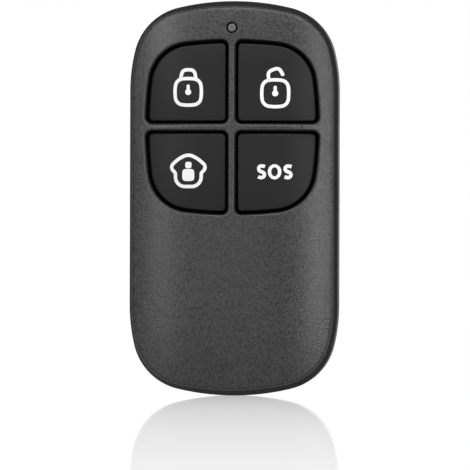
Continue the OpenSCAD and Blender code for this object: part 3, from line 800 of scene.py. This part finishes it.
def makeBar():
    bm = bmesh.new()
    bmesh.ops.create_cone(bm, cap_ends=True, segments=bar["steps"], radius1=bar["r"], radius2=bar["r"],
                          depth=bar["long"])
    ends = [e for e in bm.edges if abs(e.verts[0].co.z - e.verts[1].co.z) < levelGap]
    bmesh.ops.bevel(bm, geom=ends, offset=bar["bevel"], affect="EDGES", segments=bar["bevelSteps"],
                    profile=0.5, material=-1)
    bmesh.ops.rotate(bm, verts=bm.verts, matrix=Matrix.Rotation(radians(90), 3, "Y"))
    bmesh.ops.translate(bm, verts=bm.verts, vec=(0, bar["y"], bar["z"]))
    finishPiece(bm, "strapBar", "case", ["strap_bar"], [slotFinish["bar"]])


makeScrews()
makeBar()
print("fastenings made")

# stage: a white floor that mirrors the fob faintly near its foot, and only at a low angle,
# white all round to the eye, dimmer in what the gloss of the plastic picks up
stage = {"drop": 0.00001, "size": 3, "paper": 0.06, "near": 0.04, "reach": 0.5, "bounce": 0.375,
         "mirror": 0.59, "mirrorRough": 0.03, "fade": 0.325, "graze": 8, "blend": 0.5,
         "ambient": 0.29, "sheen": 0.2, "whiteFrom": 0.92, "whiteFull": 0.98}
white = (1, 1, 1, 1)
fadeBase = 2.718


def rayKinds(w):
    outputs = w.node("ShaderNodeLightPath").socket.node.outputs
    return [Wire(w, outputs[kind]) for kind in ("Is Camera Ray", "Is Glossy Ray", "Is Transmission Ray")]


def makeFloor():
    bm = bmesh.new()
    bmesh.ops.create_grid(bm, x_segments=1, y_segments=1, size=stage["size"])
    bmesh.ops.translate(bm, verts=bm.verts, vec=(0, 0, -stage["drop"]))
    mesh = bpy.data.meshes.new("floor")
    bm.to_mesh(mesh)
    bm.free()
    floor = bpy.data.objects.new("floor", mesh)
    scene.collection.objects.link(floor)
    w = newFinish("paperFloor")
    seen, gloss, through = rayKinds(w)
    direct = seen + through
    where = w.node("ShaderNodeTexCoord", out="Object")
    away = w.node("ShaderNodeVectorMath", {"operation": "LENGTH"}, {0: where}, out="Value")
    near = fadeBase ** (away * away * (-1 / stage["reach"] ** 2))       # the lamps light the paper here
    paper = w.node("ShaderNodeBsdfDiffuse", None, {"Color": (stage["paper"],) * 3 + (1,)})
    strength = (direct + (1 - direct) * stage["bounce"]) * (1 - near * stage["near"])
    glow = w.node("ShaderNodeEmission", None, {"Color": white, "Strength": strength})
    page = w.node("ShaderNodeAddShader", None, {0: paper, 1: glow})
    facing = w.node("ShaderNodeLayerWeight", None, {"Blend": stage["blend"]}, out="Facing")
    byFoot = fadeBase ** (away * (-1 / stage["fade"]))
    shine = (seen + gloss) * facing ** stage["graze"] * stage["mirror"] * byFoot
    mirror = w.node("ShaderNodeBsdfGlossy", None, {"Color": white, "Roughness": stage["mirrorRough"]})
    mix = w.node("ShaderNodeMixShader", None, {"Fac": shine, 1: page, 2: mirror})
    w.node("ShaderNodeOutputMaterial", None, {"Surface": mix})
    mesh.materials.append(w.owner)


def makeSurround():
    scene.world = bpy.data.worlds.new("surround")
    w = Wiring(scene.world)
    seen, gloss, through = rayKinds(w)
    where = w.node("ShaderNodeTexCoord", out="Generated")
    behind = w.node("ShaderNodeSeparateXYZ", None, {"Vector": where}, out="Y")
    backdrop = w.node("ShaderNodeMapRange", {"interpolation_type": "SMOOTHSTEP"},
                      {"Value": behind, "From Min": stage["whiteFrom"], "From Max": stage["whiteFull"],
                       "To Min": stage["sheen"], "To Max": 1.0})
    direct = seen + through
    strength = direct + gloss * backdrop + (1 - direct - gloss) * stage["ambient"]
    light = w.node("ShaderNodeBackground", None, {"Color": white, "Strength": strength})
    w.node("ShaderNodeOutputWorld", None, {"Surface": light})


makeFloor()
makeSurround()

# lamps: (turn from the front, height angle, distance, width, height, watts)
lamps = {"rightBox": (33.5, 0, 0.35, 0.078, 0.05, 0.128), "highRight": (34, 15, 0.6, 0.1, 0.1, 0.265),
         "farRight": (78, 20, 0.6, 0.2, 0.4, 1.32), "leftBox": (-32, 19, 0.5, 0.13, 0.4, 0.725),
         "topBox": (14, 48, 0.16, 0.16, 0.09, 0.18), "frontBox": (-4.4, 2, 0.25, 0.1, 0.05, 0.021)}
lampAim = Vector((0, 0, 0.03))


def outward(turn, rise):        # from the fob, turned to the right of its front and raised, in degrees
    a, b = radians(turn), radians(rise)
    return Vector((sin(a) * cos(b), -cos(a) * cos(b), sin(b)))


for name, (turn, rise, away, wide, tall, watts) in lamps.items():
    lamp = bpy.data.lights.new(name, "AREA")
    lamp.shape, lamp.size, lamp.size_y, lamp.energy = "RECTANGLE", wide, tall, watts
    holder = bpy.data.objects.new(name, lamp)
    out = outward(turn, rise)
    holder.location = lampAim + away * out
    holder.rotation_euler = (-out).to_track_quat("-Z", "Y").to_euler()
    holder.visible_camera = False
    scene.collection.objects.link(holder)

# camera: level, a little to the right of the fob
view = {"turn": 4.4, "height": 0.02385, "across": 0.00016, "away": 1.2, "frame": 0.06985, "roll": 0.155,
        "sensor": 36, "clipNear": 0.01, "clipFar": 20}
lensData = bpy.data.cameras.new("camera")
lensData.sensor_fit, lensData.sensor_width = "HORIZONTAL", view["sensor"]
lensData.lens = view["sensor"] * view["away"] / view["frame"]
lensData.clip_start, lensData.clip_end = view["clipNear"], view["clipFar"]
camera = bpy.data.objects.new("camera", lensData)
turn = radians(view["turn"])
aim = Vector((view["across"] * cos(turn), view["across"] * sin(turn), view["height"]))
camera.location = aim + view["away"] * outward(view["turn"], 0)
camera.rotation_euler = (Matrix.Rotation(turn, 3, "Z") @ Matrix.Rotation(radians(90), 3, "X")
                         @ Matrix.Rotation(radians(view["roll"]), 3, "Z")).to_euler()
scene.collection.objects.link(camera)
scene.camera = camera
scene.view_settings.view_transform = "Standard"
print("stage, lamps and camera set")
